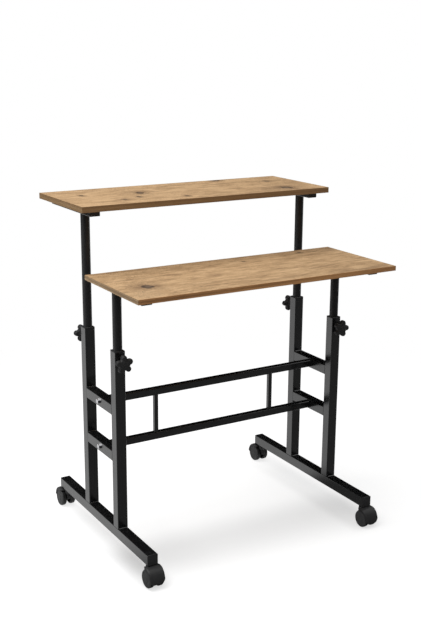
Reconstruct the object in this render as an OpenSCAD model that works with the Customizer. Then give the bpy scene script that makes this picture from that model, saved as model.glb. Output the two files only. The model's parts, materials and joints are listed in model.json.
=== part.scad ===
// Height-adjustable desk on casters. Two boards stand on round posts that slide in the
// square uprights of two end frames, and star knobs clamp the posts at any height.
// X runs from left to right, Y from front to back, Z up. The origin is on the floor,
// under the middle of the feet. Every length is in millimetres.

/* [Boards] */
// Width of both boards
board_w = 800; // [750:5:1000]
// Depth of the front, lower board
lower_d = 315; // [285:5:330]
// Depth of the rear, upper board
upper_d = 300; // [290:5:330]
// Thickness of the lower board
lower_t = 13; // [12:0.5:25]
// Thickness of the upper board
upper_t = 16; // [12:0.5:25]
// Thickness of the edge banding
band_t = 1; // [0.5:0.1:2]
// Free width between the boards when they stand level
board_gap = 5; // [3:1:12]
// How far the middle of that gap stands behind the feet's middle
gap_set = 3.5; // [0:0.5:10]
// Height of the lower board's top above the floor
lower_h = 786; // [636:1:936]
// Height of the upper board's top above the floor
upper_h = 966; // [656:1:1066]

/* [End frames] */
// Width over the two end frames
frame_w = 740; // [580:5:760]
// Side of the square tube of feet, uprights and cross tubes
tube = 30; // [30:0.5:34]
// Wall of the square tube
tube_wall = 1.5; // [1:0.1:1.6]
// Outer corner radius of the square tube
tube_r = 2.2; // [1.8:0.1:3]
// Length of a foot over its end caps
foot_len = 580; // [500:5:640]
// Distance between the front and rear uprights, middle to middle
upright_pitch = 190; // [150:5:220]
// How far the uprights' middle stands ahead of the feet's middle
upright_set = 4; // [0:1:12]
// Length of a front upright above its foot
front_upright_len = 505; // [460:5:520]
// Length of a rear upright above its foot
rear_upright_len = 525; // [460:5:560]
// Height of the lower cross tube's middle above the foot
low_rail_h = 206; // [150:2:240]
// Distance between the cross tubes, middle to middle
rail_pitch = 133; // [90:1:180]

/* [Middle ladder] */
// Side of the square tube of the crossbeams
beam = 20; // [16:1:26]
// Wall of the crossbeam tube
beam_wall = 1.5; // [1:0.1:2]
// Side of the square tube of the spacer bars
spacer = 12; // [8:1:16]
// Wall of the spacer bars
spacer_wall = 1.2; // [0.8:0.1:2]
// Distance from the desk's middle to each spacer bar
spacer_x = 194; // [120:2:260]

/* [Posts and brackets] */
// Outer diameter of the posts
post_d = 25; // [21:0.2:25.4]
// Wall of the posts
post_wall = 1.5; // [1:0.1:2]
// Length of a front post under its bracket
lower_post_len = 423; // [400:1:500]
// Length of a rear post under its bracket
upper_post_len = 523; // [480:1:528]
// Width of a bracket under a board
bracket_w = 30; // [26:1:36]
// Height of a bracket under a board
bracket_h = 15; // [12:0.5:25]
// Wall of the bracket tube
bracket_wall = 1.5; // [1:0.1:2]
// How far a lower bracket reaches ahead of its post
lower_bracket_front = 172; // [100:1:200]
// How far a lower bracket reaches behind its post
lower_bracket_rear = 45; // [42:1:90]
// How far an upper bracket reaches ahead of its post
upper_bracket_front = 65; // [42:1:80]
// How far an upper bracket reaches behind its post
upper_bracket_rear = 195; // [100:1:210]

/* [Collars and knobs] */
// Thickness of a collar's rim on top of its upright
collar_t = 3; // [2:0.5:5]
// Depth of a collar's skirt inside its upright
collar_skirt = 17; // [10:1:20]
// Distance from an upright's top down to its knob
knob_drop = 26; // [25:1:45]
// Diameter over a knob's lobes
knob_d = 50; // [36:1:56]
// Thickness of a knob's star
knob_t = 16; // [10:1:18]
// Diameter of a knob's threaded stud
stud_d = 8; // [6:1:8]

/* [Casters] */
// Diameter of the caster wheels
wheel_d = 50; // [44:1:60]
// Width of one wheel
wheel_w = 16; // [13:0.5:20]
// Gap between the two wheels of a caster
wheel_gap = 12; // [10:0.5:16]
// Distance from a caster's stem to its axle
caster_trail = 18; // [16:0.5:22]
// Distance from a foot's end to its caster's stem
caster_inset = 18; // [17:1:40]
// Diameter of a caster's stem
stem_d = 8; // [6:0.5:10]
// Diameter of a caster's axle
axle_d = 6; // [4:0.5:8]

/* [Fasteners] */
// Diameter of the bolts that hold the crossbeams
bolt_d = 8; // [5:0.5:8]
// Diameter of the screws that hold the boards
screw_d = 4; // [3:0.5:5]
// Depth of a screw in its board
screw_bite = 9; // [6:1:10]
// Distance from a bracket's end to its screw
screw_inset = 25; // [16:1:26]

/* [Fits] */
// Clearance around a post where it slides
slide_fit = 0.3; // [0.2:0.05:0.5]
// Clearance around a stem or an axle that turns
turn_fit = 0.05; // [0.02:0.01:0.1]
// Clearance between pieces that are pressed or screwed together
seat_fit = 0.02; // [0.01:0.01:0.05]
// Clearance around a plastic plug in its tube
plug_fit = 0.1; // [0.05:0.05:0.2]

/* [Hidden] */
$fn = 64;
left = -1;
right = 1;
front = -1;
rear = 1;
eps = 0.1;
frame_colour = [0.09, 0.09, 0.10];
plastic_colour = [0.05, 0.05, 0.05];
steel_colour = [0.55, 0.55, 0.57];
wood_colour = [0.76, 0.62, 0.46];
band_colour = [0.50, 0.34, 0.20];

// Casters, from the floor up
axle_z = wheel_d / 2;
hood_gap = 1.2;
hood_t = 3.6;
hood_r = axle_z + hood_gap + hood_t;
well_lap = 0.2 * hood_t;
neck_h = 1.9;
neck_wall = 6;
neck_r = stem_d / 2 + neck_wall;
neck_top = axle_z + hood_r + neck_h;
swivel_gap = 0.3;
flange_t = 3;
flange_lip = 5;
flange_r = stem_d / 2 + flange_lip;
caster_h = neck_top + swivel_gap + flange_t;
caster_half = wheel_gap / 2 + wheel_w;
wheel_edge_r = 5;
rim_t = 4;
side_gap = 0.5;
web_half = wheel_gap / 2 - side_gap;
web_spare = 1.2;
web_lap = 6;
web_clear_z = 11;
web_back = 3 - caster_trail - neck_r;
pin_len = 13;
pin_play = 0.5;
neck_floor = 2;
neck_low = neck_top - pin_len - neck_floor;
fender_low_deg = -32;
fender_high_deg = 116;
hub_wall = 3.5;
hub_r = axle_d / 2 + hub_wall;
face_t = 2.4;
bore_depth = wheel_w - face_t;
axle_play = 0.5;
axle_len = wheel_gap + 2 * (bore_depth - axle_play);
recess_r = 0.42 * axle_z;
recess_w = 0.36 * axle_z;
face_recess_t = 0.8;

// Feet, uprights and cross tubes
cap_t = 2.5;
plug_wall = 2;
plug_r = 1;
foot_plug_len = 6;
frame_x = (frame_w - tube) / 2;
foot_z = caster_h + tube / 2;
foot_top = caster_h + tube;
stem_y = foot_len / 2 - caster_inset;
stem_thread = 8;
stem_len = tube_wall + stem_thread;
nut_h = 6.5;
nut_wall = 2.8;
front_y = -upright_set - upright_pitch / 2;
rear_y = -upright_set + upright_pitch / 2;
low_rail_z = foot_top + low_rail_h;
high_rail_z = low_rail_z + rail_pitch;
cross_len = upright_pitch - tube;
tube_inner = tube - 2 * tube_wall;
tube_inner_r = max(tube_r - tube_wall, 0.3);
stud_play = 0.5;
stud_hole_d = stud_d + 2 * stud_play;

// Crossbeams and their bolts
beam_len = frame_w - 2 * tube;
beam_r = 1.8;
spacer_len = rail_pitch - beam;
spacer_r = 1.4;
block_len = 12;
block_r = 0.8;
bolt_head_w = 1.625 * bolt_d;
bolt_head_h = 0.66 * bolt_d;
bolt_len = tube + block_len - 1;
bolt_play = 0.25;

// Boards, brackets, posts and their collars
lower_y = gap_set - board_gap / 2 - lower_d / 2;
upper_y = gap_set + board_gap / 2 + upper_d / 2;
lower_bracket_len = lower_bracket_front + lower_bracket_rear;
upper_bracket_len = upper_bracket_front + upper_bracket_rear;
lower_bracket_y = front_y + (lower_bracket_rear - lower_bracket_front) / 2;
upper_bracket_y = rear_y + (upper_bracket_rear - upper_bracket_front) / 2;
bracket_r = 1.8;
bracket_plug_len = 10;
lower_under = lower_h - lower_t;
upper_under = upper_h - upper_t;
lower_post_high = lower_under - bracket_h;
upper_post_high = upper_under - bracket_h;
lower_post_low = lower_post_high - lower_post_len;
upper_post_low = upper_post_high - upper_post_len;
screw_head_d = 2 * screw_d;
screw_head_h = 0.6 * screw_d;
screw_face_d = 0.7 * screw_head_d;
slot_len = 0.55 * screw_head_d;
slot_w = 0.9;
glide_t = 6;
glide_spigot = 12;
collar_chamfer = 1;

// Knobs: heights above the upright's face, then the star's outline
knob_gap = 1.5;
knob_back = nut_h + knob_gap;
hub_len = 8;
star_back = knob_back + hub_len;
knob_hub_wall = 5;
knob_hub_r = stud_d / 2 + knob_hub_wall;
hub_flare = 1.5;
cap_disc_r = 9;
cap_disc_h = 1.2;
stud_tip = (tube - post_d) / 2 - slide_fit;
stud_seat = hub_len + knob_t / 2;
lobes = 5;
lobe_r = 0.15 * knob_d;
lobe_place = knob_d / 2 - lobe_r;
core_r = 0.29 * knob_d;
star_edge_r = 3;
disc_step = 0.6;
disc_r = lobe_place - disc_step;
pitch_cos = cos(180 / lobes);
// A scallop touches the lobes on both sides of it and leaves the core whole
scallop_r = (pow(lobe_place, 2) + pow(core_r, 2) - 2 * lobe_place * core_r * pitch_cos - pow(lobe_r, 2))
    / (2 * (lobe_r - core_r + lobe_place * pitch_cos));
scallop_place = core_r + scallop_r;
// How far each star is turned as it stands: front left, front right, rear left, rear right
front_turns = [25, 2];
rear_turns = [42, 44];

module rounded_rect(w, h, r) {
    square([w - 2 * r, h], center = true);
    square([w, h - 2 * r], center = true);
    for (x = [-1, 1], y = [-1, 1])
        translate([x * (w / 2 - r), y * (h / 2 - r)])
            circle(r = r);
}

module tube_profile(w, h, r, wall) {
    difference() {
        rounded_rect(w, h, r);
        rounded_rect(w - 2 * wall, h - 2 * wall, max(r - wall, 0.3));
    }
}

// Extrudes along X, with the profile's x along Y and its y along Z
module along_x(len) {
    rotate([90, 0, 90])
        linear_extrude(len, center = true)
            children();
}

// Extrudes along Y, with the profile's x along X and its y along Z
module along_y(len) {
    rotate([90, 0, 0])
        linear_extrude(len, center = true)
            children();
}

// Puts its children at both ends of a length along X or Y, the far one mirrored
module both_x(x) {
    for (side = [0, 1])
        mirror([1 - side, 0, 0])
            translate([x, 0, 0])
                children();
}

module both_y(y) {
    for (side = [0, 1])
        mirror([0, 1 - side, 0])
            translate([0, y, 0])
                children();
}

module foot(side) {
    color(frame_colour)
        translate([side * frame_x, 0, foot_z])
            difference() {
                along_y(foot_len - 2 * cap_t)
                    tube_profile(tube, tube, tube_r, tube_wall);
                both_y(stem_y)
                    translate([0, 0, -tube / 2 - 1])
                        cylinder(d = stem_d + 2 * bolt_play, h = tube_wall + 2);
            }
}

// A plastic plug whose plate covers a tube's end; the plate starts at z = 0
module end_plug(w, h, r, wall, depth) {
    outer_inset = wall + plug_fit;
    inner_inset = wall + plug_wall;
    linear_extrude(cap_t)
        rounded_rect(w, h, r);
    translate([0, 0, -depth])
        linear_extrude(depth)
            difference() {
                rounded_rect(w - 2 * outer_inset, h - 2 * outer_inset, plug_r);
                rounded_rect(w - 2 * inner_inset, h - 2 * inner_inset, plug_r / 2);
            }
}

module foot_caps() {
    color(plastic_colour)
        both_x(frame_x)
            both_y(foot_len / 2 - cap_t)
                translate([0, 0, foot_z])
                    rotate([-90, 0, 0])
                        end_plug(tube, tube, tube_r, tube_wall, foot_plug_len);
}

module upright(side, end, len) {
    color(frame_colour)
        translate([side * frame_x, end == front ? front_y : rear_y, foot_top])
            difference() {
                linear_extrude(len)
                    tube_profile(tube, tube, tube_r, tube_wall);
                translate([0, end * (tube - tube_wall) / 2, len - knob_drop])
                    rotate([90, 0, 0])
                        cylinder(d = stud_hole_d, h = tube_wall + 2, center = true);
            }
}

module cross_tubes(side) {
    color(frame_colour)
        for (z = [low_rail_z, high_rail_z])
            translate([side * frame_x, -upright_set, z])
                difference() {
                    along_y(cross_len)
                        tube_profile(tube, tube, tube_r, tube_wall);
                    along_x(tube + 2)
                        circle(d = bolt_d + 2 * bolt_play);
                }
}

module crossbeam(z) {
    color(frame_colour)
        translate([0, -upright_set, z])
            along_x(beam_len)
                tube_profile(beam, beam, beam_r, beam_wall);
}

module spacer_bars() {
    color(frame_colour)
        both_x(spacer_x)
            translate([0, -upright_set, low_rail_z + beam / 2])
                linear_extrude(spacer_len)
                    tube_profile(spacer, spacer, spacer_r, spacer_wall);
}

// A threaded block welded into each end of a crossbeam takes the bolt
module beam_end_blocks() {
    block = beam - 2 * (beam_wall + seat_fit);
    color(steel_colour)
        for (z = [low_rail_z, high_rail_z])
            both_x(beam_len / 2 - block_len / 2)
                translate([0, -upright_set, z])
                    along_x(block_len)
                        difference() {
                            rounded_rect(block, block, block_r);
                            circle(d = bolt_d + 2 * seat_fit);
                        }
}

// A hexagon bolt along -X, with the underside of its head at the origin
module hex_bolt() {
    corner_r = bolt_head_w / 2 / cos(30);
    rotate([0, -90, 0])
        cylinder(d = bolt_d, h = bolt_len);
    rotate([0, 90, 0])
        intersection() {
            cylinder(r = corner_r, h = bolt_head_h, $fn = 6);
            cylinder(r1 = corner_r + bolt_head_h, r2 = bolt_head_w / 2, h = bolt_head_h);
        }
}

module beam_bolts() {
    color(steel_colour)
        for (z = [low_rail_z, high_rail_z])
            both_x(frame_w / 2)
                translate([0, -upright_set, z])
                    hex_bolt();
}

// The upright section of a collar's rim, with both upper edges chamfered
module rim_profile() {
    half = tube / 2;
    c = collar_chamfer;
    polygon([[-half, 0], [half, 0], [half, collar_t - c], [half - c, collar_t],
             [c - half, collar_t], [-half, collar_t - c]]);
}

// Collars guide the posts: a rim on the upright's end and a skirt inside it
module collar() {
    skirt = tube - 2 * (tube_wall + plug_fit);
    difference() {
        union() {
            intersection() {
                linear_extrude(collar_t)
                    rounded_rect(tube, tube, tube_r);
                along_x(tube)
                    rim_profile();
                along_y(tube)
                    rim_profile();
            }
            translate([0, 0, -collar_skirt])
                linear_extrude(collar_skirt)
                    rounded_rect(skirt, skirt, plug_r);
        }
        translate([0, 0, -collar_skirt - 1])
            cylinder(d = post_d + 2 * slide_fit, h = collar_skirt + collar_t + 2);
    }
}

module collars() {
    color(plastic_colour)
        both_x(frame_x) {
            translate([0, front_y, foot_top + front_upright_len])
                collar();
            translate([0, rear_y, foot_top + rear_upright_len])
                collar();
        }
}

// A hexagon nut on the plane z = 0
module weld_nut(bore, h) {
    difference() {
        cylinder(d = (bore + 2 * nut_wall) / cos(30), h = h, $fn = 6);
        translate([0, 0, -1])
            cylinder(d = bore, h = h + 2);
    }
}

// Places a knob's children with z = 0 on the upright's outer face and z pointing out
module at_knob(side, end) {
    y = end == front ? front_y - tube / 2 : rear_y + tube / 2;
    len = end == front ? front_upright_len : rear_upright_len;
    translate([side * frame_x, y, foot_top + len - knob_drop])
        rotate([end == front ? 90 : -90, 0, 0])
            children();
}

module knob_nuts() {
    color(frame_colour)
        for (side = [left, right], end = [front, rear])
            at_knob(side, end)
                weld_nut(stud_d + 2 * turn_fit, nut_h);
}

module caster_nuts() {
    color(steel_colour)
        both_x(frame_x)
            both_y(stem_y)
                translate([0, 0, caster_h + tube_wall])
                    weld_nut(stem_d + 2 * seat_fit, nut_h);
}

// A stem screws into the foot; its flange bears on the tube and its pin carries the hood
module caster_stem() {
    translate([0, 0, neck_top + swivel_gap])
        cylinder(r = flange_r, h = flange_t, $fn = 6);
    translate([0, 0, caster_h])
        cylinder(d = stem_d, h = stem_len);
    translate([0, 0, neck_top - pin_len])
        cylinder(d = stem_d, h = pin_len + swivel_gap + 0.5 * flange_t);
}

module caster_stems() {
    color(steel_colour)
        both_x(frame_x)
            both_y(stem_y)
                caster_stem();
}

// Screw places along a bracket, from its middle
module at_screws(y, len) {
    both_x(frame_x)
        for (s = [-1, 1])
            translate([0, y + s * (len / 2 - screw_inset), 0])
                children();
}

module board(y, depth, under, thick, bracket_y, bracket_len) {
    color(wood_colour)
        difference() {
            translate([0, y, under + thick / 2])
                cube([board_w - 2 * band_t, depth - 2 * band_t, thick], center = true);
            at_screws(bracket_y, bracket_len)
                translate([0, 0, under - 1])
                    cylinder(d = screw_d + 2 * seat_fit, h = screw_bite + 1 + seat_fit);
        }
}

module edge_band(y, depth, under, thick) {
    color(band_colour)
        translate([0, y, under + thick / 2]) {
            both_y(depth / 2 - band_t / 2)
                cube([board_w, band_t, thick], center = true);
            both_x(board_w / 2 - band_t / 2)
                cube([band_t, depth - 2 * band_t, thick], center = true);
        }
}

// Brackets, their caps and their screws are placed by the underside of their board
module brackets(y, len, under) {
    color(frame_colour)
        difference() {
            both_x(frame_x)
                translate([0, y, under - bracket_h / 2])
                    along_y(len - 2 * cap_t)
                        tube_profile(bracket_w, bracket_h, bracket_r, bracket_wall);
            at_screws(y, len)
                translate([0, 0, under - bracket_h - 1])
                    cylinder(d = screw_d + 2 * bolt_play, h = bracket_h + 2);
        }
}

module bracket_caps(y, len, under) {
    color(plastic_colour)
        both_x(frame_x)
            for (s = [0, 1])
                translate([0, y, under - bracket_h / 2])
                    mirror([0, 1 - s, 0])
                        translate([0, len / 2 - cap_t, 0])
                            rotate([-90, 0, 0])
                                end_plug(bracket_w, bracket_h, bracket_r, bracket_wall, bracket_plug_len);
}

module screws(y, len, under) {
    color(steel_colour)
        at_screws(y, len)
            translate([0, 0, under - bracket_h]) {
                cylinder(d = screw_d, h = bracket_h + screw_bite);
                translate([0, 0, -screw_head_h])
                    difference() {
                        cylinder(d1 = screw_face_d, d2 = screw_head_d, h = screw_head_h);
                        for (turn = [0, 90])
                            rotate(turn)
                                cube([slot_len, slot_w, screw_head_h], center = true);
                    }
            }
}

// A post hangs under its bracket and reaches down to its glide
module post(side, y, low, high) {
    color(frame_colour)
        translate([side * frame_x, y, low])
            linear_extrude(high - low)
                difference() {
                    circle(d = post_d);
                    circle(d = post_d - 2 * post_wall);
                }
}

// A glide plugs a post's lower end and keeps it central in the square upright
module post_glides(y, low) {
    head = tube_inner - 2 * slide_fit;
    color(plastic_colour)
        both_x(frame_x)
            translate([0, y, low]) {
                translate([0, 0, -glide_t])
                    linear_extrude(glide_t)
                        rounded_rect(head, head, tube_inner_r + 0.6);
                cylinder(d = post_d - 2 * (post_wall + seat_fit), h = glide_spigot);
            }
}

module star_outline() {
    difference() {
        circle(r = disc_r);
        for (k = [0 : lobes - 1])
            rotate(360 / lobes * (k + 0.5))
                translate([scallop_place, 0])
                    circle(r = scallop_r);
    }
    for (k = [0 : lobes - 1])
        rotate(360 / lobes * k)
            translate([lobe_place, 0])
                circle(r = lobe_r);
}

// Half section of the turned blank that rounds the lobes' ends
module star_blank() {
    r = knob_d / 2;
    square([r - star_edge_r, knob_t]);
    translate([0, star_edge_r])
        square([r, knob_t - 2 * star_edge_r]);
    for (y = [star_edge_r, knob_t - star_edge_r])
        translate([r - star_edge_r, y])
            circle(r = star_edge_r);
}

module star() {
    intersection() {
        linear_extrude(knob_t)
            star_outline();
        rotate_extrude()
            star_blank();
    }
}

module knob(side, end) {
    turns = end == front ? front_turns : rear_turns;
    turn = side == left ? turns[0] : turns[1];
    color(plastic_colour)
        at_knob(side, end)
            difference() {
                union() {
                    translate([0, 0, star_back])
                        rotate(turn)
                            star();
                    translate([0, 0, knob_back])
                        cylinder(r1 = knob_hub_r, r2 = knob_hub_r + hub_flare, h = hub_len + eps);
                    translate([0, 0, star_back + knob_t - eps])
                        cylinder(r1 = cap_disc_r, r2 = cap_disc_r - cap_disc_h, h = cap_disc_h + eps);
                }
                translate([0, 0, knob_back - 1])
                    cylinder(d = stud_d + 2 * seat_fit, h = stud_seat + 1);
            }
}

module knob_stud(side, end) {
    color(steel_colour)
        at_knob(side, end)
            translate([0, 0, -stud_tip])
                cylinder(d = stud_d, h = stud_tip + knob_back + stud_seat - seat_fit);
}

// Places a caster's children with the stem on the z axis and the axle towards +Y
module at_caster(side, end) {
    translate([side * frame_x, end * stem_y, 0])
        mirror([0, end == front ? 1 : 0, 0])
            children();
}

// Moves its children to the axle, which points along X
module at_axle() {
    translate([0, caster_trail, axle_z])
        rotate([90, 0, 90])
            children();
}

// Half section of a wheel's outline grown by a margin: x is the radius, y runs along the axle
module rim_section(grow) {
    r = axle_z + grow;
    e = wheel_edge_r + grow;
    h = caster_half + grow;
    square([r - e, 2 * h], center = false);
    translate([0, e])
        square([r, 2 * h - 2 * e]);
    for (y = [e, 2 * h - e])
        translate([r - e, y])
            circle(r = e);
}

// The fender follows the wheels' rounded outline, and is open at its sides
module fender() {
    outside = hood_gap + hood_t;
    at_axle()
        rotate([0, 0, fender_low_deg])
            rotate_extrude(angle = fender_high_deg - fender_low_deg)
                intersection() {
                    difference() {
                        translate([0, -caster_half - outside])
                            rim_section(outside);
                        translate([0, -caster_half - hood_gap])
                            rim_section(hood_gap);
                    }
                    translate([0, -caster_half])
                        square([2 * axle_z, 2 * caster_half]);
                }
}

// Side view of the web: a disc that ends inside the fender, and a back that carries the neck
module web_outline() {
    intersection() {
        union() {
            circle(r = axle_z + hood_gap + hood_t / 2);
            translate([web_back, 0])
                square([-web_back, neck_low + web_lap - axle_z]);
        }
        translate([-2 * axle_z, web_clear_z - axle_z])
            square([4 * axle_z, 4 * axle_z]);
    }
}

// The web and the neck are cut clear of the wheels, which leaves a thin web between them
module hood_body() {
    difference() {
        union() {
            at_axle()
                linear_extrude(2 * (web_half + web_spare), center = true)
                    web_outline();
            translate([0, 0, neck_low])
                cylinder(r = neck_r, h = neck_top - neck_low);
        }
        at_axle()
            for (s = [0, 1])
                mirror([0, 0, s])
                    translate([0, 0, web_half])
                        cylinder(r = axle_z + hood_gap + well_lap, h = neck_r);
    }
}

module caster_hood(side, end) {
    color(plastic_colour)
        at_caster(side, end)
            difference() {
                union() {
                    fender();
                    hood_body();
                }
                translate([0, 0, neck_top - pin_len - pin_play])
                    cylinder(d = stem_d + 2 * turn_fit, h = pin_len + 2);
                at_axle()
                    cylinder(d = axle_d + 2 * seat_fit, h = 2 * caster_half, center = true);
            }
}

module caster_axle(side, end) {
    color(steel_colour)
        at_caster(side, end)
            at_axle()
                cylinder(d = axle_d, h = axle_len, center = true);
}

// A hollow wheel: the tread, an outer face with a raised hub, and a hub on the axle
module caster_wheel(side, end, place) {
    color(plastic_colour)
        at_caster(side, end)
            at_axle()
                mirror([0, 0, place == left ? 1 : 0])
                    translate([0, 0, wheel_gap / 2])
                        rotate_extrude()
                            wheel_section();
}

// Half section of a wheel: x is the radius, and y runs from its inner side to its outer face
module wheel_section() {
    difference() {
        union() {
            square([axle_z - wheel_edge_r, wheel_w]);
            translate([0, wheel_edge_r])
                square([axle_z, wheel_w - 2 * wheel_edge_r]);
            for (y = [wheel_edge_r, wheel_w - wheel_edge_r])
                translate([axle_z - wheel_edge_r, y])
                    circle(r = wheel_edge_r);
        }
        translate([hub_r, -1])
            square([axle_z - rim_t - hub_r, bore_depth + 1]);
        translate([-1, -1])
            square([axle_d / 2 + turn_fit + 1, bore_depth + 1]);
        translate([recess_r, wheel_w - face_recess_t])
            square([recess_w, face_recess_t + 1]);
    }
}

foot(left);  // left_foot
foot(right);  // right_foot
foot_caps();
upright(left, front, front_upright_len);  // front_left_upright
upright(right, front, front_upright_len);  // front_right_upright
upright(left, rear, rear_upright_len);  // rear_left_upright
upright(right, rear, rear_upright_len);  // rear_right_upright
cross_tubes(left);  // left_cross_tubes
cross_tubes(right);  // right_cross_tubes
crossbeam(high_rail_z);  // upper_crossbeam
crossbeam(low_rail_z);  // lower_crossbeam
spacer_bars();
beam_bolts();
beam_end_blocks();
collars();
knob_nuts();
caster_nuts();
caster_stems();
board(lower_y, lower_d, lower_under, lower_t, lower_bracket_y, lower_bracket_len);  // lower_board
edge_band(lower_y, lower_d, lower_under, lower_t);  // lower_edge_band
brackets(lower_bracket_y, lower_bracket_len, lower_under);  // lower_brackets
bracket_caps(lower_bracket_y, lower_bracket_len, lower_under);  // lower_bracket_caps
post(left, front_y, lower_post_low, lower_post_high);  // lower_left_post
post(right, front_y, lower_post_low, lower_post_high);  // lower_right_post
post_glides(front_y, lower_post_low);  // lower_post_glides
screws(lower_bracket_y, lower_bracket_len, lower_under);  // lower_screws
board(upper_y, upper_d, upper_under, upper_t, upper_bracket_y, upper_bracket_len);  // upper_board
edge_band(upper_y, upper_d, upper_under, upper_t);  // upper_edge_band
brackets(upper_bracket_y, upper_bracket_len, upper_under);  // upper_brackets
bracket_caps(upper_bracket_y, upper_bracket_len, upper_under);  // upper_bracket_caps
post(left, rear_y, upper_post_low, upper_post_high);  // upper_left_post
post(right, rear_y, upper_post_low, upper_post_high);  // upper_right_post
post_glides(rear_y, upper_post_low);  // upper_post_glides
screws(upper_bracket_y, upper_bracket_len, upper_under);  // upper_screws
knob(left, front);  // front_left_knob
knob(right, front);  // front_right_knob
knob(left, rear);  // rear_left_knob
knob(right, rear);  // rear_right_knob
knob_stud(left, front);  // front_left_knob_stud
knob_stud(right, front);  // front_right_knob_stud
knob_stud(left, rear);  // rear_left_knob_stud
knob_stud(right, rear);  // rear_right_knob_stud
caster_hood(left, front);  // front_left_caster_hood
caster_hood(right, front);  // front_right_caster_hood
caster_hood(left, rear);  // rear_left_caster_hood
caster_hood(right, rear);  // rear_right_caster_hood
caster_axle(left, front);  // front_left_caster_axle
caster_axle(right, front);  // front_right_caster_axle
caster_axle(left, rear);  // rear_left_caster_axle
caster_axle(right, rear);  // rear_right_caster_axle
caster_wheel(left, front, left);  // front_left_caster_wheel_a
caster_wheel(right, front, left);  // front_right_caster_wheel_a
caster_wheel(left, rear, left);  // rear_left_caster_wheel_a
caster_wheel(right, rear, left);  // rear_right_caster_wheel_a
caster_wheel(left, front, right);  // front_left_caster_wheel_b
caster_wheel(right, front, right);  // front_right_caster_wheel_b
caster_wheel(left, rear, right);  // rear_left_caster_wheel_b
caster_wheel(right, rear, right);  // rear_right_caster_wheel_b
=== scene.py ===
"""Looks of a height-adjustable desk: finishes, welds, star knobs, caster hoods and studio."""
import json
import math

import bmesh
import bpy
from mathutils import Matrix, Vector


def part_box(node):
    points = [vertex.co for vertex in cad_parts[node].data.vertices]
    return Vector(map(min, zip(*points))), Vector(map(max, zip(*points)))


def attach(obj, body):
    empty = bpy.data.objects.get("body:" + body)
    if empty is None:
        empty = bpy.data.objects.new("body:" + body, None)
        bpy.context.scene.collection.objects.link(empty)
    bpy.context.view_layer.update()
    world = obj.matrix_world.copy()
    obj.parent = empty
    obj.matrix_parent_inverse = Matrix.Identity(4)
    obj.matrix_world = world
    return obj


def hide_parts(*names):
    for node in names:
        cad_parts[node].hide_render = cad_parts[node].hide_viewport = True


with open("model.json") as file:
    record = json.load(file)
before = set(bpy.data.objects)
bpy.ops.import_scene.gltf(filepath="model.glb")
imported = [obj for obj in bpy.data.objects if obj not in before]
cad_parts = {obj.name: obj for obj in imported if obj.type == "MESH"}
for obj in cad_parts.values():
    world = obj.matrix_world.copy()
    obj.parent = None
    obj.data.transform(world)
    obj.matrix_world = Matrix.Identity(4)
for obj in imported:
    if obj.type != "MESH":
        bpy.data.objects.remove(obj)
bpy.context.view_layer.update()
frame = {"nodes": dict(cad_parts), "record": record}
nodes = frame["nodes"]

MM = 0.001
ENDS = {"front": -1, "rear": 1}
SIDES = {"left": -1, "right": 1}
WHITE = (1.0, 1.0, 1.0, 1.0)
BLACK = (0.0, 0.0, 0.0, 1.0)

# Where each foot and its casters stand to the side, and where the casters' axles are
CASTER_X = 0.355
AXLE_Y = 0.290
AXLE_Z = 0.025

# Camera: place in the frame, azimuth, elevation and roll in degrees, lens in mm, reach in m
CAMERA_PLACE = Vector((-1.4873, -2.4853, 1.3953))
CAMERA_TURN = (-30.698, 14.934, 0.342)
CAMERA_LENS = 59.40
CAMERA_REACH = 60


def make_camera():
    turn, rise, roll = (math.radians(angle) for angle in CAMERA_TURN)
    back = Vector((math.sin(turn) * math.cos(rise), -math.cos(turn) * math.cos(rise),
                   math.sin(rise)))
    right = (-back).cross(Vector((0, 0, 1))).normalized()
    up = back.cross(right)
    rolled_right = math.cos(roll) * right + math.sin(roll) * up
    rolled_up = math.cos(roll) * up - math.sin(roll) * right
    camera = bpy.data.objects.new("camera", bpy.data.cameras.new("camera"))
    camera.matrix_world = Matrix.Translation(CAMERA_PLACE) @ Matrix(
        (rolled_right, rolled_up, back)).transposed().to_4x4()
    camera.data.lens = CAMERA_LENS
    camera.data.clip_end = CAMERA_REACH
    bpy.context.scene.collection.objects.link(camera)
    bpy.context.scene.camera = camera


# Shader nodes


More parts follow.
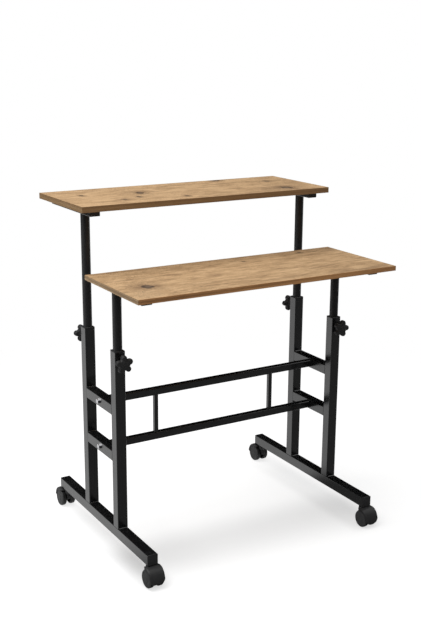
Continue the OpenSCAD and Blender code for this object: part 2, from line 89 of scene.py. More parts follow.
class Graph:
    """A node tree whose nodes are added one call at a time."""

    def __init__(self, tree):
        self.nodes = tree.nodes
        self.links = tree.links

    def add(self, kind, **settings):
        node = self.nodes.new(kind)
        for setting, value in settings.items():
            setattr(node, setting, value)
        return node

    def put(self, socket, value):
        """Links another node's socket, or sets a constant."""
        if isinstance(value, bpy.types.NodeSocket):
            self.links.new(value, socket)
        else:
            socket.default_value = value

    def math(self, operation, *values):
        node = self.add("ShaderNodeMath", operation=operation)
        for socket, value in zip(node.inputs, values):
            self.put(socket, value)
        return node.outputs[0]

    def total(self, *values):
        result = values[0]
        for value in values[1:]:
            result = self.math("ADD", result, value)
        return result

    def times(self, *values):
        result = values[0]
        for value in values[1:]:
            result = self.math("MULTIPLY", result, value)
        return result

    def square(self, value):
        return self.math("POWER", value, 2.0)

    def most(self, first, second):
        return self.math("MAXIMUM", first, second)

    def scaled(self, value, factor, offset):
        return self.math("MULTIPLY_ADD", value, factor, offset)

    def step(self, value, low, high, start=0.0, end=1.0):
        """Goes smoothly from start to end as the value goes from low to high."""
        node = self.add("ShaderNodeMapRange", interpolation_type="SMOOTHSTEP")
        self.links.new(value, node.inputs["Value"])
        for name, number in (("From Min", low), ("From Max", high), ("To Min", start),
                             ("To Max", end)):
            node.inputs[name].default_value = number
        return node.outputs["Result"]

    def window(self, value, rise_from, rise_to, fall_from, fall_to):
        """1 between a rise and a fall, and 0 outside them."""
        return self.times(self.step(value, rise_from, rise_to),
                          self.step(value, fall_from, fall_to, 1.0, 0.0))

    def glow(self, kind, strength):
        """A white emission or background."""
        node = self.add(kind)
        node.inputs["Color"].default_value = WHITE
        self.put(node.inputs["Strength"], strength)
        return node.outputs[0]

    def joined(self, kind, *inputs):
        """A node that mixes or adds shaders."""
        node = self.add(kind)
        for socket, value in zip(node.inputs, inputs):
            self.put(socket, value)
        return node.outputs[0]


class Shader(Graph):
    """A material with a Principled surface."""

    def __init__(self, name, **constants):
        self.material = bpy.data.materials.new(name)
        self.material.use_nodes = True
        super().__init__(self.material.node_tree)
        self.surface = self.nodes["Principled BSDF"]
        self.finish(**constants)

    def finish(self, **sockets):
        """Links or sets the surface's sockets, whose names have underscores here."""
        for socket, value in sockets.items():
            self.put(self.surface.inputs[socket.replace("_", " ")], value)
        return self.material

    def spot(self):
        """The point's coordinates on its own object, as one vector."""
        return self.add("ShaderNodeTexCoord").outputs["Object"]

    def place(self):
        """The point's coordinates on its own object, as three sockets."""
        split = self.add("ShaderNodeSeparateXYZ")
        self.links.new(self.spot(), split.inputs[0])
        return split.outputs[0], split.outputs[1], split.outputs[2]

    def vector(self, x, y, z):
        node = self.add("ShaderNodeCombineXYZ")
        for socket, value in zip(node.inputs, (x, y, z)):
            self.put(socket, value)
        return node.outputs[0]

    def stretched(self, *axes):
        """A vector whose axes are a socket with its scale, or a bare number."""
        return self.vector(*(self.times(*axis) if isinstance(axis, tuple) else axis
                             for axis in axes))

    def noise(self, vector, scale=1.0, detail=2.0, roughness=0.5):
        node = self.add("ShaderNodeTexNoise")
        self.links.new(vector, node.inputs["Vector"])
        node.inputs["Scale"].default_value = scale
        node.inputs["Detail"].default_value = detail
        node.inputs["Roughness"].default_value = roughness
        return node.outputs["Fac"]

    def seams(self, vector):
        """Distance to the nearest border of a pattern of cells."""
        node = self.add("ShaderNodeTexVoronoi", feature="DISTANCE_TO_EDGE")
        self.links.new(vector, node.inputs["Vector"])
        node.inputs["Scale"].default_value = 1.0
        return node.outputs["Distance"]

    def reach(self, dx, dy, half_x, half_y):
        """Distance from the middle of an ellipse, where 1 is its edge."""
        return self.math("SQRT", self.total(self.square(self.math("DIVIDE", dx, half_x)),
                                            self.square(self.math("DIVIDE", dy, half_y))))

    def blend(self, factor, first, second, mode="MIX"):
        node = self.add("ShaderNodeMix", data_type="RGBA", blend_type=mode)
        self.put(node.inputs["Factor"], factor)
        for name, colour in (("A", first), ("B", second)):
            is_socket = isinstance(colour, bpy.types.NodeSocket)
            self.put(node.inputs[name], colour if is_socket else (*colour, 1))
        return node.outputs["Result"]

    def ramp(self, value, stops):
        node = self.add("ShaderNodeValToRGB")
        self.links.new(value, node.inputs[0])
        elements = node.color_ramp.elements
        while len(elements) < len(stops):
            elements.new(0.5)
        for element, (position, colour) in zip(elements, stops):
            element.position = position
            element.color = (*colour, 1)
        return node.outputs["Color"]

    def bump(self, height, distance):
        node = self.add("ShaderNodeBump")
        node.inputs["Distance"].default_value = distance
        self.links.new(height, node.inputs["Height"])
        self.links.new(node.outputs["Normal"], self.surface.inputs["Normal"])


# Metal and plastic finishes


def frame_paint():
    """Glossy black powder coat: a fine orange peel and faint rub marks."""
    s = Shader("frame_paint", IOR=1.9)
    spot = s.spot()
    peel = s.noise(spot, 900)
    slow = s.noise(spot, 60, detail=3)
    shade = s.noise(spot, 14, detail=4, roughness=0.6)
    s.bump(s.total(peel, s.times(slow, 2.0)), 0.04 * MM)
    colour = s.blend(shade, (0.0070, 0.0070, 0.0073), (0.0115, 0.0115, 0.0119))
    return s.finish(Base_Color=colour, Roughness=s.step(shade, 0.3, 0.7, 0.17, 0.25))


def post_coat():
    """Satin black powder coat, rubbed slightly along the post by its collar."""
    s = Shader("post_coat", IOR=1.42)
    x, y, z = s.place()
    grain = s.noise(s.spot(), 1100, roughness=0.55)
    rub = s.noise(s.stretched((x, 900.0), (y, 900.0), (z, 7.0)), detail=3, roughness=0.6)
    s.bump(grain, 0.05 * MM)
    colour = s.blend(rub, (0.0195, 0.0195, 0.0200), (0.0265, 0.0265, 0.0272))
    return s.finish(Base_Color=colour, Roughness=s.step(rub, 0.3, 0.7, 0.40, 0.52))


# Moulded plastics: a dark and a light tone, roughness, IOR, and the grain's scale and depth
PLASTICS = {
    "black_plastic": ((0.026, 0.026, 0.027), (0.036, 0.036, 0.037), 0.50, 1.45, 1800, 0.05 * MM),
    "knob_plastic": ((0.030, 0.030, 0.031), (0.042, 0.042, 0.043), 0.58, 1.40, 1500, 0.06 * MM),
    "caster_plastic": ((0.030, 0.030, 0.031), (0.042, 0.042, 0.043), 0.52, 1.42, 1400, 0.04 * MM),
}
PLASTIC_SPREAD = 0.05
CLOUD_SCALE = 45


def moulded(name):
    """Moulded plastic with a fine spark-eroded grain."""
    dark, light, rough, ior, grain_scale, grain_depth = PLASTICS[name]
    s = Shader(name, IOR=ior)
    spot = s.spot()
    grain = s.noise(spot, grain_scale, roughness=0.6)
    cloud = s.noise(spot, CLOUD_SCALE, detail=4, roughness=0.6)
    s.bump(grain, grain_depth)
    return s.finish(Base_Color=s.blend(cloud, dark, light),
                    Roughness=s.step(cloud, 0.3, 0.7, rough - PLASTIC_SPREAD,
                                     rough + PLASTIC_SPREAD))


# How far from its caster's middle a wheel's tread ends, and where its outer disc is reached; the
# disc is painted lighter as lit and the tread darker as shaded
WHEEL_LIT_DISC = (16.5 * MM, 19.5 * MM)


def wheel_nylon():
    """A caster wheel with painted light: a tread painted dark as shaded, and a moulded disc on its
    outer side painted greyer as lit.
    """
    s = Shader("wheel_nylon", IOR=1.35)
    x = s.place()[0]
    spot = s.spot()
    grain = s.noise(spot, 1200, roughness=0.6)
    cloud = s.noise(spot, CLOUD_SCALE, detail=4, roughness=0.6)
    s.bump(grain, 0.05 * MM)
    off = s.math("ABSOLUTE", s.math("SUBTRACT", s.math("ABSOLUTE", x), CASTER_X))
    # Painted light and shade: the outer disc lighter as lit, the tread darker as shaded
    disc = s.blend(cloud, (0.066, 0.067, 0.068), (0.088, 0.089, 0.090))
    shaded_tread = s.blend(cloud, (0.013, 0.013, 0.013), (0.021, 0.021, 0.021))
    return s.finish(Base_Color=s.blend(s.step(off, *WHEEL_LIT_DISC), shaded_tread, disc),
                    Roughness=s.step(cloud, 0.3, 0.7, 0.52, 0.62))


def zinc_steel():
    """Bright zinc plate with a faint crystalline bloom."""
    s = Shader("zinc_steel", Metallic=1.0)
    spot = s.spot()
    bloom = s.noise(spot, 220, detail=4, roughness=0.65)
    fine = s.noise(spot, 2400, detail=1)
    s.bump(s.total(fine, bloom), 0.03 * MM)
    colour = s.ramp(bloom, [(0.3, (0.50, 0.50, 0.52)), (0.6, (0.72, 0.72, 0.74)),
                            (0.75, (0.80, 0.79, 0.76))])
    return s.finish(Base_Color=colour, Roughness=s.step(bloom, 0.35, 0.65, 0.2, 0.36))


# Wood

# Knots of a board's face: place in x and y, half length and half width, in metres, and strength
LOWER_KNOTS = [
    (-0.316, -0.200, 0.017, 0.021, 1.0), (0.272, -0.031, 0.0065, 0.0065, 1.0),
    (-0.195, -0.262, 0.004, 0.006, 0.35), (0.060, -0.060, 0.006, 0.007, 0.6)]
UPPER_KNOTS = [
    (-0.318, 0.196, 0.0065, 0.010, 1.0), (-0.149, 0.168, 0.012, 0.018, 1.0),
    (-0.185, 0.102, 0.007, 0.011, 1.0), (-0.241, 0.074, 0.006, 0.009, 0.9),
    (-0.057, 0.055, 0.006, 0.010, 1.0), (0.176, 0.289, 0.013, 0.009, 1.0),
    (0.311, 0.209, 0.008, 0.012, 0.85), (0.284, 0.062, 0.016, 0.021, 1.0)]
# Darker patches of a board's face, given as the knots are
LOWER_PATCHES = [
    (-0.310, -0.110, 0.105, 0.008, 0.75), (-0.330, -0.055, 0.075, 0.010, 0.45),
    (-0.316, -0.200, 0.045, 0.034, 0.55), (0.050, -0.286, 0.070, 0.009, 0.5),
    (0.300, -0.297, 0.110, 0.010, 0.8), (-0.190, -0.232, 0.055, 0.006, 0.5),
    (0.215, -0.215, 0.060, 0.012, 0.45), (-0.340, -0.012, 0.060, 0.009, 0.4)]
UPPER_PATCHES = [
    (0.262, 0.060, 0.068, 0.046, 1.0), (-0.150, 0.190, 0.060, 0.020, 0.45),
    (-0.290, 0.262, 0.110, 0.014, 0.5), (0.178, 0.289, 0.035, 0.012, 0.6),
    (0.060, 0.050, 0.070, 0.014, 0.45), (-0.215, 0.088, 0.055, 0.013, 0.4),
    (0.310, 0.205, 0.045, 0.013, 0.5), (0.020, 0.255, 0.080, 0.010, 0.4)]
# Where fine surface cracks run, given as the knots are
LOWER_CRACKS = [(-0.352, -0.268, 0.050, 0.046, 1.0), (-0.300, -0.235, 0.050, 0.022, 0.6)]
UPPER_CRACKS = [(0.255, 0.045, 0.045, 0.022, 0.5)]

WOOD_PALE = (0.695, 0.466, 0.258)
WOOD_LIGHT = (0.560, 0.361, 0.189)
WOOD_BASE = (0.443, 0.278, 0.142)
WOOD_DEEP = (0.255, 0.152, 0.078)
WOOD_DARK = (0.150, 0.088, 0.048)
KNOT_HEART = (0.190, 0.130, 0.085)
KNOT_DARK = (0.060, 0.036, 0.022)

# Layers of the grain: scale along it and across it, added seed, detail and roughness
WOOD_LAYERS = {
    "wander": (3.0, 8.0, 0, 2, 0.5),
    "ripple": (16.0, 30.0, 1, 2, 0.5),
    "cloud": (16.0, 30.0, 5, 5, 0.66),
    "figure": (11.0, 85.0, 0, 5, 0.68),
    "lines": (26.0, 300.0, 0, 4, 0.65),
    "fibre": (60.0, 1500.0, 0, 2, 0.6),
    "flecks": (48.0, 560.0, 9, 2, 0.5),
}
FLECK_EDGE = (0.64, 0.74)


def ragged_spots(s, x, y, table, rough, inner, outer):
    """The strongest of a table's ellipses at each point, with edges made ragged."""
    strongest = 0.0
    for centre_x, centre_y, half_x, half_y, strength in table:
        reach = s.times(s.reach(s.math("SUBTRACT", x, centre_x), s.math("SUBTRACT", y, centre_y),
                                half_x, half_y), rough)
        strongest = s.most(s.times(s.step(reach, inner, outer, 1.0, 0.0), strength), strongest)
    return strongest


def knot_marks(s, x, y, flow, knots, seed):
    """Bends the grain's flow round each knot, and marks their cores, hearts, halos and rings."""
    core = heart = halo = rings = 0.0
    for centre_x, centre_y, half_x, half_y, strength in knots:
        dx = s.math("SUBTRACT", x, centre_x)
        dy = s.math("SUBTRACT", y, centre_y)
        ragged = s.noise(s.vector(dx, dy, seed + 10 * centre_x), 1.3 / half_x, detail=4,
                         roughness=0.7)
        reach = s.times(s.reach(dx, dy, half_x, half_y), s.scaled(ragged, 2.2, -0.1))
        near = s.math("DIVIDE", 1.0, s.total(1.0, s.square(s.times(reach, 0.42))))
        flow = s.math("SUBTRACT", flow, s.times(dy, s.times(near, 0.9)))
        core = s.most(s.times(s.step(reach, 0.7, 1.1, 1.0, 0.0), strength), core)
        heart = s.most(s.step(reach, 0.3, 0.62, 0.7, 0.0), heart)
        around = s.times(s.step(reach, 0.9, 3.4, 1.0, 0.0), strength)
        halo = s.most(around, halo)
        rings = s.total(rings, s.times(around, s.math("SINE", s.times(reach, 15.0))))
    return flow, core, heart, halo, rings


def board_wood(name, knots, patches, cracks, seed):
    """Satin laminate with a rustic grain that runs along X and flows round its knots."""
    s = Shader(name)
    x, y = s.place()[:2]

    def layer(kind, across):
        along_scale, across_scale, added, detail, roughness = WOOD_LAYERS[kind]
        where = s.stretched((x, along_scale), (across, across_scale), seed + added)
        return s.noise(where, detail=detail, roughness=roughness)

    flow = s.total(y, s.scaled(layer("wander", y), 0.050, -0.025),
                   s.scaled(layer("ripple", y), 0.012, -0.006))
    flow, core, heart, halo, rings = knot_marks(s, x, y, flow, knots, seed)
    figure, lines, fibre, flecks = (layer(kind, flow)
                                    for kind in ("figure", "lines", "fibre", "flecks"))
    cloud = layer("cloud", y)
    tone = s.total(s.times(figure, 0.38), s.times(lines, 0.32), s.times(fibre, 0.08),
                   s.times(cloud, 0.22))
    colour = s.ramp(tone, [(0.40, WOOD_DEEP), (0.465, WOOD_BASE), (0.51, WOOD_LIGHT),
                           (0.57, WOOD_PALE)])

    stain = ragged_spots(s, x, y, patches, s.scaled(figure, 1.6, 0.1), 0.35, 1.3)
    stain = s.times(stain, s.step(lines, 0.34, 0.62, 1.0, 0.45))
    colour = s.blend(s.times(stain, 0.95), colour, WOOD_DEEP)
    colour = s.blend(s.step(flecks, *FLECK_EDGE, 0.0, 0.5), colour, WOOD_DARK)
    colour = s.blend(s.times(halo, s.step(lines, 0.36, 0.6, 0.75, 0.2)), colour, WOOD_DEEP)
    colour = s.blend(s.times(s.step(rings, 0.2, 0.9), 0.65), colour, WOOD_DARK)
    colour = s.blend(core, colour, KNOT_DARK)
    colour = s.blend(s.times(heart, core), colour, KNOT_HEART)

    cracked = ragged_spots(s, x, y, cracks, s.scaled(cloud, 1.4, 0.3), 0.5, 1.1)
    seam = s.seams(s.vector(s.scaled(lines, 0.9, s.times(x, 62.0)),
                            s.scaled(figure, 1.2, s.times(y, 150.0)), seed))
    colour = s.blend(s.times(cracked, s.step(seam, 0.05, 0.22, 0.75, 0.0)), colour, WOOD_PALE)
    colour = s.blend(s.times(cracked, s.step(seam, 0.01, 0.05, 1.0, 0.0)), colour, WOOD_DARK)
    s.bump(s.total(s.times(fibre, 0.6), s.times(lines, 0.5),
                   s.times(s.step(flecks, *FLECK_EDGE), -1.0)), 0.07 * MM)
    return s.finish(Base_Color=colour, Roughness=s.step(tone, 0.38, 0.62, 0.55, 0.43))


BAND_PALE = (0.47, 0.26, 0.125)
BAND_BASE = (0.36, 0.185, 0.082)
BAND_DARK = (0.20, 0.096, 0.042)
# Tints of each board's banding, on its long edges and on its two ends: painted light makes the
# lower board's long edges lighter, undoing the shade that the upper board casts on them, and a
# painted sheen makes the ends greyer and lighter
UPPER_BAND_PAINTED_TINTS = (0.84, 0.91, 0.87), (1.01, 1.16, 1.17)
LOWER_BAND_PAINTED_TINTS = (1.57, 1.46, 1.20), (1.36, 1.70, 1.88)
# Between which distances from the middle the tint of the long edges gives way to the painted sheen
# tint of the ends
SHEEN_BAND_END = (0.3986, 0.3994)


def edge_banding(name, long_tint, end_sheen_tint):
    """Wood-grain edging: streaks that follow each edge, a tint on the long edges, and a painted
    sheen tint on the two ends.
    """
    s = Shader(name)
    x, y, z = s.place()
    along = s.total(x, y)
    broad = s.noise(s.stretched((along, 2.2), 0.0, (z, 130.0)), detail=3, roughness=0.6)
    fine = s.noise(s.stretched((along, 26.0), 0.0, (z, 1500.0)), detail=2, roughness=0.6)
    tone = s.total(s.times(broad, 0.62), s.times(fine, 0.38))
    s.bump(fine, 0.05 * MM)
    shade = s.ramp(tone, [(0.34, BAND_DARK), (0.5, BAND_BASE), (0.66, BAND_PALE)])
    # Past these distances the ends take a painted sheen tint in place of the long edges' tint
    end = s.step(s.math("ABSOLUTE", x), *SHEEN_BAND_END)
    colour = s.blend(1.0, shade, s.blend(end, long_tint, end_sheen_tint), "MULTIPLY")
    return s.finish(Base_Color=colour, Roughness=s.step(tone, 0.35, 0.65, 0.5, 0.4))


def finish_nodes():
    """Gives every CAD node its slot's material; the boards have their own wood and banding."""
    finishes = {name: moulded(name) for name in PLASTICS}
    finishes["frame_paint"] = frame_paint()
    finishes["post_coat"] = post_coat()
    finishes["wheel_nylon"] = wheel_nylon()
    finishes["zinc_steel"] = zinc_steel()
    finishes["edge_banding"] = edge_banding("upper_banding_painted_sheen", *UPPER_BAND_PAINTED_TINTS)
    own = {
        "lower_board": board_wood("lower_board_wood", LOWER_KNOTS, LOWER_PATCHES, LOWER_CRACKS,
                                  seed=1.7),
        "upper_board": board_wood("upper_board_wood", UPPER_KNOTS, UPPER_PATCHES, UPPER_CRACKS,
                                  seed=5.3),
        "lower_edge_band": edge_banding("lower_banding_painted_light_and_sheen", *LOWER_BAND_PAINTED_TINTS),
    }
    for subpart in frame["record"]["subparts"]:
        name = subpart["node"]
        mesh = nodes[name].data
        mesh.materials.clear()
        mesh.materials.append(own.get(name) or finishes[subpart["material_slot"]])
    return finishes


# Pieces


def add_piece(name, mesh, material, body):
    mesh.polygons.foreach_set("use_smooth", [True] * len(mesh.polygons))
    mesh.materials.clear()
    mesh.materials.append(material)
    piece = bpy.data.objects.new(name, mesh)
    bpy.context.scene.collection.objects.link(piece)
    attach(piece, body)
    return piece


def made_mesh(name, points, faces):
    mesh = bpy.data.meshes.new(name)
    mesh.from_pydata([tuple(point) for point in points], [], faces)
    mesh.validate()
    mesh.update()
    return mesh


def tube_faces(rings, sides):
    """Four-sided faces between rings of points, and a cap on each end."""
    faces = []
    for ring in range(rings - 1):
        for side in range(sides):
            a = ring * sides + side
            b = ring * sides + (side + 1) % sides
            faces.append((a, b, b + sides, a + sides))
    faces.append(tuple(reversed(range(sides))))
    faces.append(tuple(range((rings - 1) * sides, rings * sides)))
    return faces


# Weld beads: leg length, length of one ripple, and how the bead swells, tapers and leans
BEAD = 2.2 * MM
BEAD_PITCH = 2.6 * MM
BEAD_STEPS = 5
RINGS_PER_RIPPLE = 4
FEWEST_RINGS = 8
BEAD_SUNK = 0.25 * BEAD
RIPPLE_DEPTH = 0.16
FACE_FLATTEN = 0.22
TIP_SIZE = 0.35
TIP_SLOPE = 6
RIPPLE_LEAN = 0.25 * BEAD_PITCH
FRAME_INSET = 3 * MM
SPACER_INSET = 2 * MM


def bead(start, end, out_a, out_b):
    """Points and faces of one fillet weld in the corner between surfaces with those normals."""
    start, end, out_a, out_b = Vector(start), Vector(end), Vector(out_a), Vector(out_b)
    length = (end - start).length
    along = (end - start) / length
    segments = max(FEWEST_RINGS, round(length / BEAD_PITCH * RINGS_PER_RIPPLE))
    points = []
    for ring in range(segments + 1):
        where = ring / segments
        ripple = 1 - RIPPLE_DEPTH * abs(math.sin(math.pi * where * length / BEAD_PITCH))
        swell = min(1.0, TIP_SLOPE * min(where, 1 - where) + TIP_SIZE)
        centre = start + along * length * where
        points.append(centre - (out_a + out_b) * BEAD_SUNK)
        for step in range(BEAD_STEPS + 1):
            angle = math.pi / 2 * step / BEAD_STEPS
            reach = BEAD * ripple * swell * (1 - FACE_FLATTEN * math.sin(2 * angle))
            offset = out_a * math.cos(angle) * reach + out_b * math.sin(angle) * reach
            points.append(centre + offset - along * RIPPLE_LEAN * math.sin(2 * angle))
    return points, tube_faces(segments + 1, BEAD_STEPS + 2)


def add_beads(name, beads, material):
    points, faces = [], []
    for one in beads:
        new_points, new_faces = bead(*one)
        base = len(points)
        points += new_points
        faces += [tuple(index + base for index in face) for face in new_faces]
    add_piece(name, made_mesh(name, points, faces), material, "frame")


def weld_frames(material):
    """Fillets round the feet of the uprights and along the cross tubes' upper and lower ends."""
    for side in SIDES:
        beads = []
        cross_low, cross_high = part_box(f"{side}_cross_tubes")
        for end in ENDS:
            low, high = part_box(f"{end}_{side}_upright")
            x0, x1 = low.x + FRAME_INSET, high.x - FRAME_INSET
            for y, out in ((low.y, -1), (high.y, 1)):
                beads.append(((x0, y, low.z), (x1, y, low.z), (0, out, 0), (0, 0, 1)))
            inner, out = (high.y, 1) if end == "front" else (low.y, -1)
            tube = high.x - low.x
            for z, up in ((cross_low.z, -1), (cross_low.z + tube, 1),
                          (cross_high.z - tube, -1), (cross_high.z, 1)):
                beads.append(((x0, inner, z), (x1, inner, z), (0, out, 0), (0, 0, up)))
        add_beads(f"{side}_frame_welds", beads, material)


def weld_spacers(material):
    """Small fillets at both ends of each spacer bar."""
    low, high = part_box("spacer_bars")
    wide = high.y - low.y
    y0, y1 = low.y + SPACER_INSET, high.y - SPACER_INSET
    beads = []
    for x0, x1 in ((low.x, low.x + wide), (high.x - wide, high.x)):
        for z, up in ((low.z, 1), (high.z, -1)):
            for x, out in ((x0, -1), (x1, 1)):
                beads.append(((x, y0, z), (x, y1, z), (out, 0, 0), (0, 0, up)))
    add_beads("spacer_bar_welds", beads, material)


# Star knobs: lengths outward from the upright's face, and the star's outline
KNOB_D = 50 * MM
KNOB_BACK = 8 * MM
HUB_LEN = 8 * MM
STAR_T = 16 * MM
HUB_R = 9 * MM
HUB_FLARE = 1.5 * MM
HUB_SHARES = (0.0, 0.35, 0.7, 1.0)
LOBES = 5
LOBE_R = 0.15 * KNOB_D
LOBE_PLACE = KNOB_D / 2 - LOBE_R
VALLEY_R = 0.325 * KNOB_D
WEB_POWER = 1.5
LOBE_SHARPNESS = 16
EDGE_R = 5.5 * MM
EDGE_STEPS = 7
KNOB_SIDES = 120
# The raised disc on the knob's face: radius and height above the star, in millimetres
FACE_DISC = [(10.3, 0.25), (9.4, 0.3), (8.9, 0.9), (5.64, 1.2), (2.35, 1.25)]
# How far each star is turned at rest, in degrees
KNOB_TURNS = {("front", "left"): 21, ("front", "right"): 2, ("rear", "left"): 38,
              ("rear", "right"): 34}


def star_reach(angle):
    """Radius of the star's outline at an angle: five round lobes that flow into the core."""
    pitch = 2 * math.pi / LOBES
    off = abs((angle + pitch / 2) % pitch - pitch / 2)
    side = LOBE_PLACE * math.sin(off)
    lobe = 0.0
    if side < LOBE_R:
        lobe = LOBE_PLACE * math.cos(off) + math.sqrt(LOBE_R ** 2 - side ** 2)
    # A fleshy web runs from each lobe's flank down to the valley between two lobes
    web = VALLEY_R + (LOBE_PLACE - VALLEY_R) * (1 - 2 * off / pitch) ** WEB_POWER
    return (lobe ** LOBE_SHARPNESS + web ** LOBE_SHARPNESS) ** (1 / LOBE_SHARPNESS)


def knob_profile():
    """Rings from back to face: a round ring's radius or a star ring's inset, and the height."""
    star_low, star_high = KNOB_BACK + HUB_LEN, KNOB_BACK + HUB_LEN + STAR_T
    quarter = [math.pi / 2 * step / EDGE_STEPS for step in range(EDGE_STEPS + 1)]
    rings = [("round", HUB_R + HUB_FLARE * share ** 2, KNOB_BACK + HUB_LEN * share)
             for share in HUB_SHARES]
    rings += [("star", EDGE_R * (1 - math.sin(angle)), star_low + EDGE_R * (1 - math.cos(angle)))
              for angle in quarter]
    rings += [("star", EDGE_R * (1 - math.cos(angle)), star_high - EDGE_R * (1 - math.sin(angle)))
              for angle in quarter]
    rings += [("round", radius * MM, star_high + height * MM) for radius, height in FACE_DISC]
    return rings


def star_knob(end, side, material):
    """A moulded star knob with rounded lobes, a raised disc on its face and a flared hub."""
    name = f"{end}_{side}_knob"
    low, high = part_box(name)
    stud_low, stud_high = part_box(f"{name}_stud")
    centre_x, centre_z = (stud_low.x + stud_high.x) / 2, (stud_low.z + stud_high.z) / 2
    out = ENDS[end]
    face = (high.y if end == "front" else low.y) - out * KNOB_BACK
    turn = math.radians(KNOB_TURNS[(end, side)])
    profile, points = knob_profile(), []
    for kind, value, height in profile:
        for k in range(KNOB_SIDES):
            angle = 2 * math.pi * k / KNOB_SIDES
            radius = star_reach(angle - turn) - value if kind == "star" else value
            # The rear knobs face the other way, so their angle runs downwards
            points.append((centre_x + radius * math.cos(angle), face + out * height,
                           centre_z - out * radius * math.sin(angle)))
    mesh = made_mesh(f"{name}_star", points, tube_faces(len(profile), KNOB_SIDES))
    piece = add_piece(f"{name}_star", mesh, material, name)
    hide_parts(name)


# Caster hoods: radius, where the skirt ends, how far the crown rises, how soft the edges are
HOOD_R = 29.8 * MM
SKIRT_LOW = 17 * MM
CROWN_RISE = 2.8 * MM
HOOD_SOFT = 0.9 * MM
# How far inside and outside the hood's radius a point still moves with the crown
CROWN_INSIDE = 3.4 * MM
CROWN_OUTSIDE = 0.1 * MM
# Angle above the outward direction where the crown starts to rise, and over which it rises
CROWN_START = 20
CROWN_SPAN = 55
# Slope of the skirt's lower edge ahead of the axle, and of the corners cut off its sides and rear
SKIRT_SLOPE = 0.36
SIDE_CUT, SIDE_SLOPE = 15 * MM, 1.7
REAR_CUT, REAR_PLACE, REAR_SLOPE = 11 * MM, -28 * MM, 2
# Edge angles in degrees: flat enough to merge, sharp enough to soften, and shaded as sharp
FLAT_EDGE = 1.0
SOFTENED_EDGE = 35
SHARP_EDGE = 40
WELD_POINTS = 0.001 * MM
SHORTEST_EDGE = 0.02 * MM


def hood_cuts():
    """Planes that shape a hood: point and inward normal, each across, ahead of the axle and up."""
    cuts = [((0, 0, SKIRT_LOW), (0, 0, 1)), ((0, 0, SKIRT_LOW), (0, SKIRT_SLOPE, 1))]
    for hand in SIDES.values():
        cuts.append(((hand * SIDE_CUT, 0, SKIRT_LOW), (-SIDE_SLOPE * hand, 0, 1)))
        cuts.append(((hand * REAR_CUT, REAR_PLACE, 0), (-REAR_SLOPE * hand, 1, 0)))
    return cuts


def raise_crown(shell, outward):
    """Moves the hood's skin out to the foot, and with it the part of the neck within it."""
    for vert in shell.verts:
        ahead = outward * vert.co.y - AXLE_Y
        above = vert.co.z - AXLE_Z
        far = math.hypot(ahead, above)
        if HOOD_R - CROWN_INSIDE < far < HOOD_R + CROWN_OUTSIDE:
            share = (math.degrees(math.atan2(above, ahead)) - CROWN_START) / CROWN_SPAN
            share = min(1.0, max(0.0, share))
            grow = 1 + CROWN_RISE / far * share ** 2 * (3 - 2 * share)
            vert.co.y = outward * (AXLE_Y + ahead * grow)
            vert.co.z = AXLE_Z + above * grow


def hood_shell(end, side, material):
    """The CAD hood with a shorter skirt, a crown that rises to the foot, and softened edges."""
    name = f"{end}_{side}_caster_hood"
    outward = ENDS[end]
    middle = CASTER_X * SIDES[side]
    shell = bmesh.new()
    shell.from_mesh(nodes[name].data)
    bmesh.ops.remove_doubles(shell, verts=shell.verts, dist=WELD_POINTS)
    for (across, ahead, up), (turn_x, turn_y, turn_z) in hood_cuts():
        cut = bmesh.ops.bisect_plane(
            shell, geom=shell.verts[:] + shell.edges[:] + shell.faces[:], dist=WELD_POINTS,
            clear_inner=True, plane_co=(middle + across, outward * (AXLE_Y + ahead), up),
            plane_no=Vector((turn_x, outward * turn_y, turn_z)).normalized())
        rim = [part for part in cut["geom_cut"] if isinstance(part, bmesh.types.BMEdge)]
        bmesh.ops.edgeloop_fill(shell, edges=rim)
    bmesh.ops.dissolve_limit(shell, angle_limit=math.radians(FLAT_EDGE), verts=shell.verts[:],
                             edges=shell.edges[:])
    bmesh.ops.dissolve_degenerate(shell, dist=SHORTEST_EDGE, edges=shell.edges[:])
    raise_crown(shell, outward)
    sharp = [edge for edge in shell.edges
             if edge.is_manifold and edge.calc_face_angle(0) > math.radians(SOFTENED_EDGE)]
    bmesh.ops.bevel(shell, geom=sharp, offset=HOOD_SOFT, offset_type="OFFSET", segments=3,
                    profile=0.5, affect="EDGES", clamp_overlap=True)
    mesh = bpy.data.meshes.new(f"{end}_{side}_hood_shell")
    shell.to_mesh(mesh)
    shell.free()
    piece = add_piece(f"{end}_{side}_hood_shell", mesh, material,
                      f"{end}_{side}_caster")
    mesh.set_sharp_from_angle(angle=math.radians(SHARP_EDGE))
    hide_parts(name)


# Studio

AMBIENT = 0.32
# The key light above the desk
KEY_PLACE = Vector((-0.9, 0.1, 3.0))
KEY_TARGET = Vector((0, 0, 0.4))
KEY_SIZE = 2.4
KEY_POWER = 62
# The floor: its half width, its tone, and the light that the camera sees added to it
FLOOR_HALF = 14
FLOOR_TONE = 0.55
FLOOR_LIFT = 0.76
# Between which distances from the middle the floor fades to white
FLOOR_FADE = (0.8, 1.9)
# What glossy surfaces see of the floor, where it is bright and where it is dark
FLOOR_SHINE = 0.84
FLOOR_GLOOM = 0.11
# Flags: where each stands, their half width, and their lower and upper edge
FLAG_PLACES = {"rear_flag": 4.0, "front_flag": -4.5}
FLAG_HALF = 9
FLAG_LOW, FLAG_HIGH = 0.01, 6


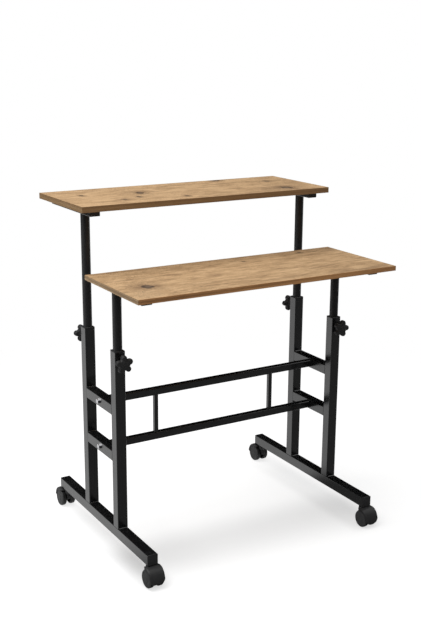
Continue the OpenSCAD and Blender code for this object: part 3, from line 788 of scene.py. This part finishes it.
def make_world():
    """White to the eye and to glossy surfaces, and a plain grey fill for everything else."""
    world = bpy.data.worlds.new("studio")
    world.use_nodes = True
    graph = Graph(world.node_tree)
    graph.nodes.clear()
    path = graph.add("ShaderNodeLightPath")
    seen = graph.most(path.outputs["Is Camera Ray"],
                      graph.most(path.outputs["Is Glossy Ray"],
                                 path.outputs["Is Transmission Ray"]))
    fill = graph.glow("ShaderNodeBackground", AMBIENT)
    white = graph.glow("ShaderNodeBackground", 1.0)
    output = graph.add("ShaderNodeOutputWorld")
    graph.put(output.inputs["Surface"], graph.joined("ShaderNodeMixShader", seen, fill, white))
    bpy.context.scene.world = world


def plane(name, corners, material):
    mesh = bpy.data.meshes.new(name)
    mesh.from_pydata(corners, [], [tuple(range(len(corners)))])
    mesh.materials.append(material)
    piece = bpy.data.objects.new(name, mesh)
    bpy.context.scene.collection.objects.link(piece)
    return piece


def painted_floor_shadow(s, x, y):
    """How much less the floor is lifted where shadow is painted on it."""
    # A painted shadow band under the lower board, a little deeper on the left
    board_shadow_band = s.times(s.window(y, -0.36, -0.17, -0.14, 0.0), s.window(x, -0.40, -0.36, 0.40, 0.46),
                   s.step(x, -0.27, -0.05, 0.225, 0.165))
    # A painted shadow strip beside each foot
    off_foot = s.math("ABSOLUTE", s.math("SUBTRACT", s.math("ABSOLUTE", x), CASTER_X))
    foot_shadow_strip = s.times(s.step(off_foot, 0.02, 0.07, 0.09, 0.0),
                      s.window(y, -0.33, -0.29, 0.15, 0.30))
    return s.total(board_shadow_band, foot_shadow_strip)


def make_floor():
    """A pale floor that keeps the desk's shadow near it, adds painted shadow under the lower board
    and beside the feet, and fades to white further out.
    """
    s = Shader("floor", Roughness=0.9, Specular_IOR_Level=0.0,
               Base_Color=(FLOOR_TONE, FLOOR_TONE, FLOOR_TONE, 1.0))
    path = s.add("ShaderNodeLightPath")
    to_camera, to_gloss = path.outputs["Is Camera Ray"], path.outputs["Is Glossy Ray"]
    x, y = s.place()[:2]
    # The camera sees the floor lifted, and lifted less where shadow is painted
    strength = s.math("SUBTRACT", FLOOR_LIFT, painted_floor_shadow(s, x, y))
    lift = s.glow("ShaderNodeEmission", s.times(to_camera, strength))
    near = s.joined("ShaderNodeAddShader", s.surface.outputs[0], lift)
    far = s.step(s.math("SQRT", s.total(s.square(x), s.square(y))), *FLOOR_FADE)
    white = s.glow("ShaderNodeEmission", 1.0)
    seen = s.joined("ShaderNodeMixShader", s.times(far, to_camera), near, white)
    # Glossy surfaces see a bright floor behind and to the left of the desk, and a dark one in front
    beside = s.times(s.step(y, -0.35, 0.05), s.step(x, -0.42, -0.36, 1.0, 0.0))
    bright = s.most(s.step(y, 0.02, 0.14), beside)
    shine = s.glow("ShaderNodeEmission", s.scaled(bright, FLOOR_SHINE - FLOOR_GLOOM, FLOOR_GLOOM))
    s.put(s.nodes["Material Output"].inputs["Surface"],
          s.joined("ShaderNodeMixShader", to_gloss, seen, shine))
    h = FLOOR_HALF
    plane("floor", [(-h, -h, 0), (h, -h, 0), (h, h, 0), (-h, h, 0)], s.material)


def make_flags():
    """Black studio flags behind and in front of the desk, seen only in reflections."""
    s = Shader("flag", Specular_IOR_Level=0.0, Base_Color=BLACK)
    for name, y in FLAG_PLACES.items():
        flag = plane(name, [(-FLAG_HALF, y, FLAG_LOW), (FLAG_HALF, y, FLAG_LOW),
                            (FLAG_HALF, y, FLAG_HIGH), (-FLAG_HALF, y, FLAG_HIGH)], s.material)
        for ray in ("camera", "diffuse", "transmission", "volume_scatter", "shadow"):
            setattr(flag, f"visible_{ray}", False)


def make_key():
    light = bpy.data.lights.new("key", "AREA")
    light.shape = "SQUARE"
    light.size = KEY_SIZE
    light.energy = KEY_POWER
    lamp = bpy.data.objects.new("key", light)
    lamp.location = KEY_PLACE
    lamp.rotation_euler = (KEY_TARGET - KEY_PLACE).to_track_quat("-Z", "Y").to_euler()
    bpy.context.scene.collection.objects.link(lamp)


make_camera()
finishes = finish_nodes()
weld_frames(finishes["frame_paint"])
weld_spacers(finishes["frame_paint"])
for corner_end in ENDS:
    for corner_side in SIDES:
        star_knob(corner_end, corner_side, finishes["knob_plastic"])
        hood_shell(corner_end, corner_side, finishes["caster_plastic"])
make_world()
make_floor()
make_flags()
make_key()
bpy.context.scene.view_settings.view_transform = "Standard"
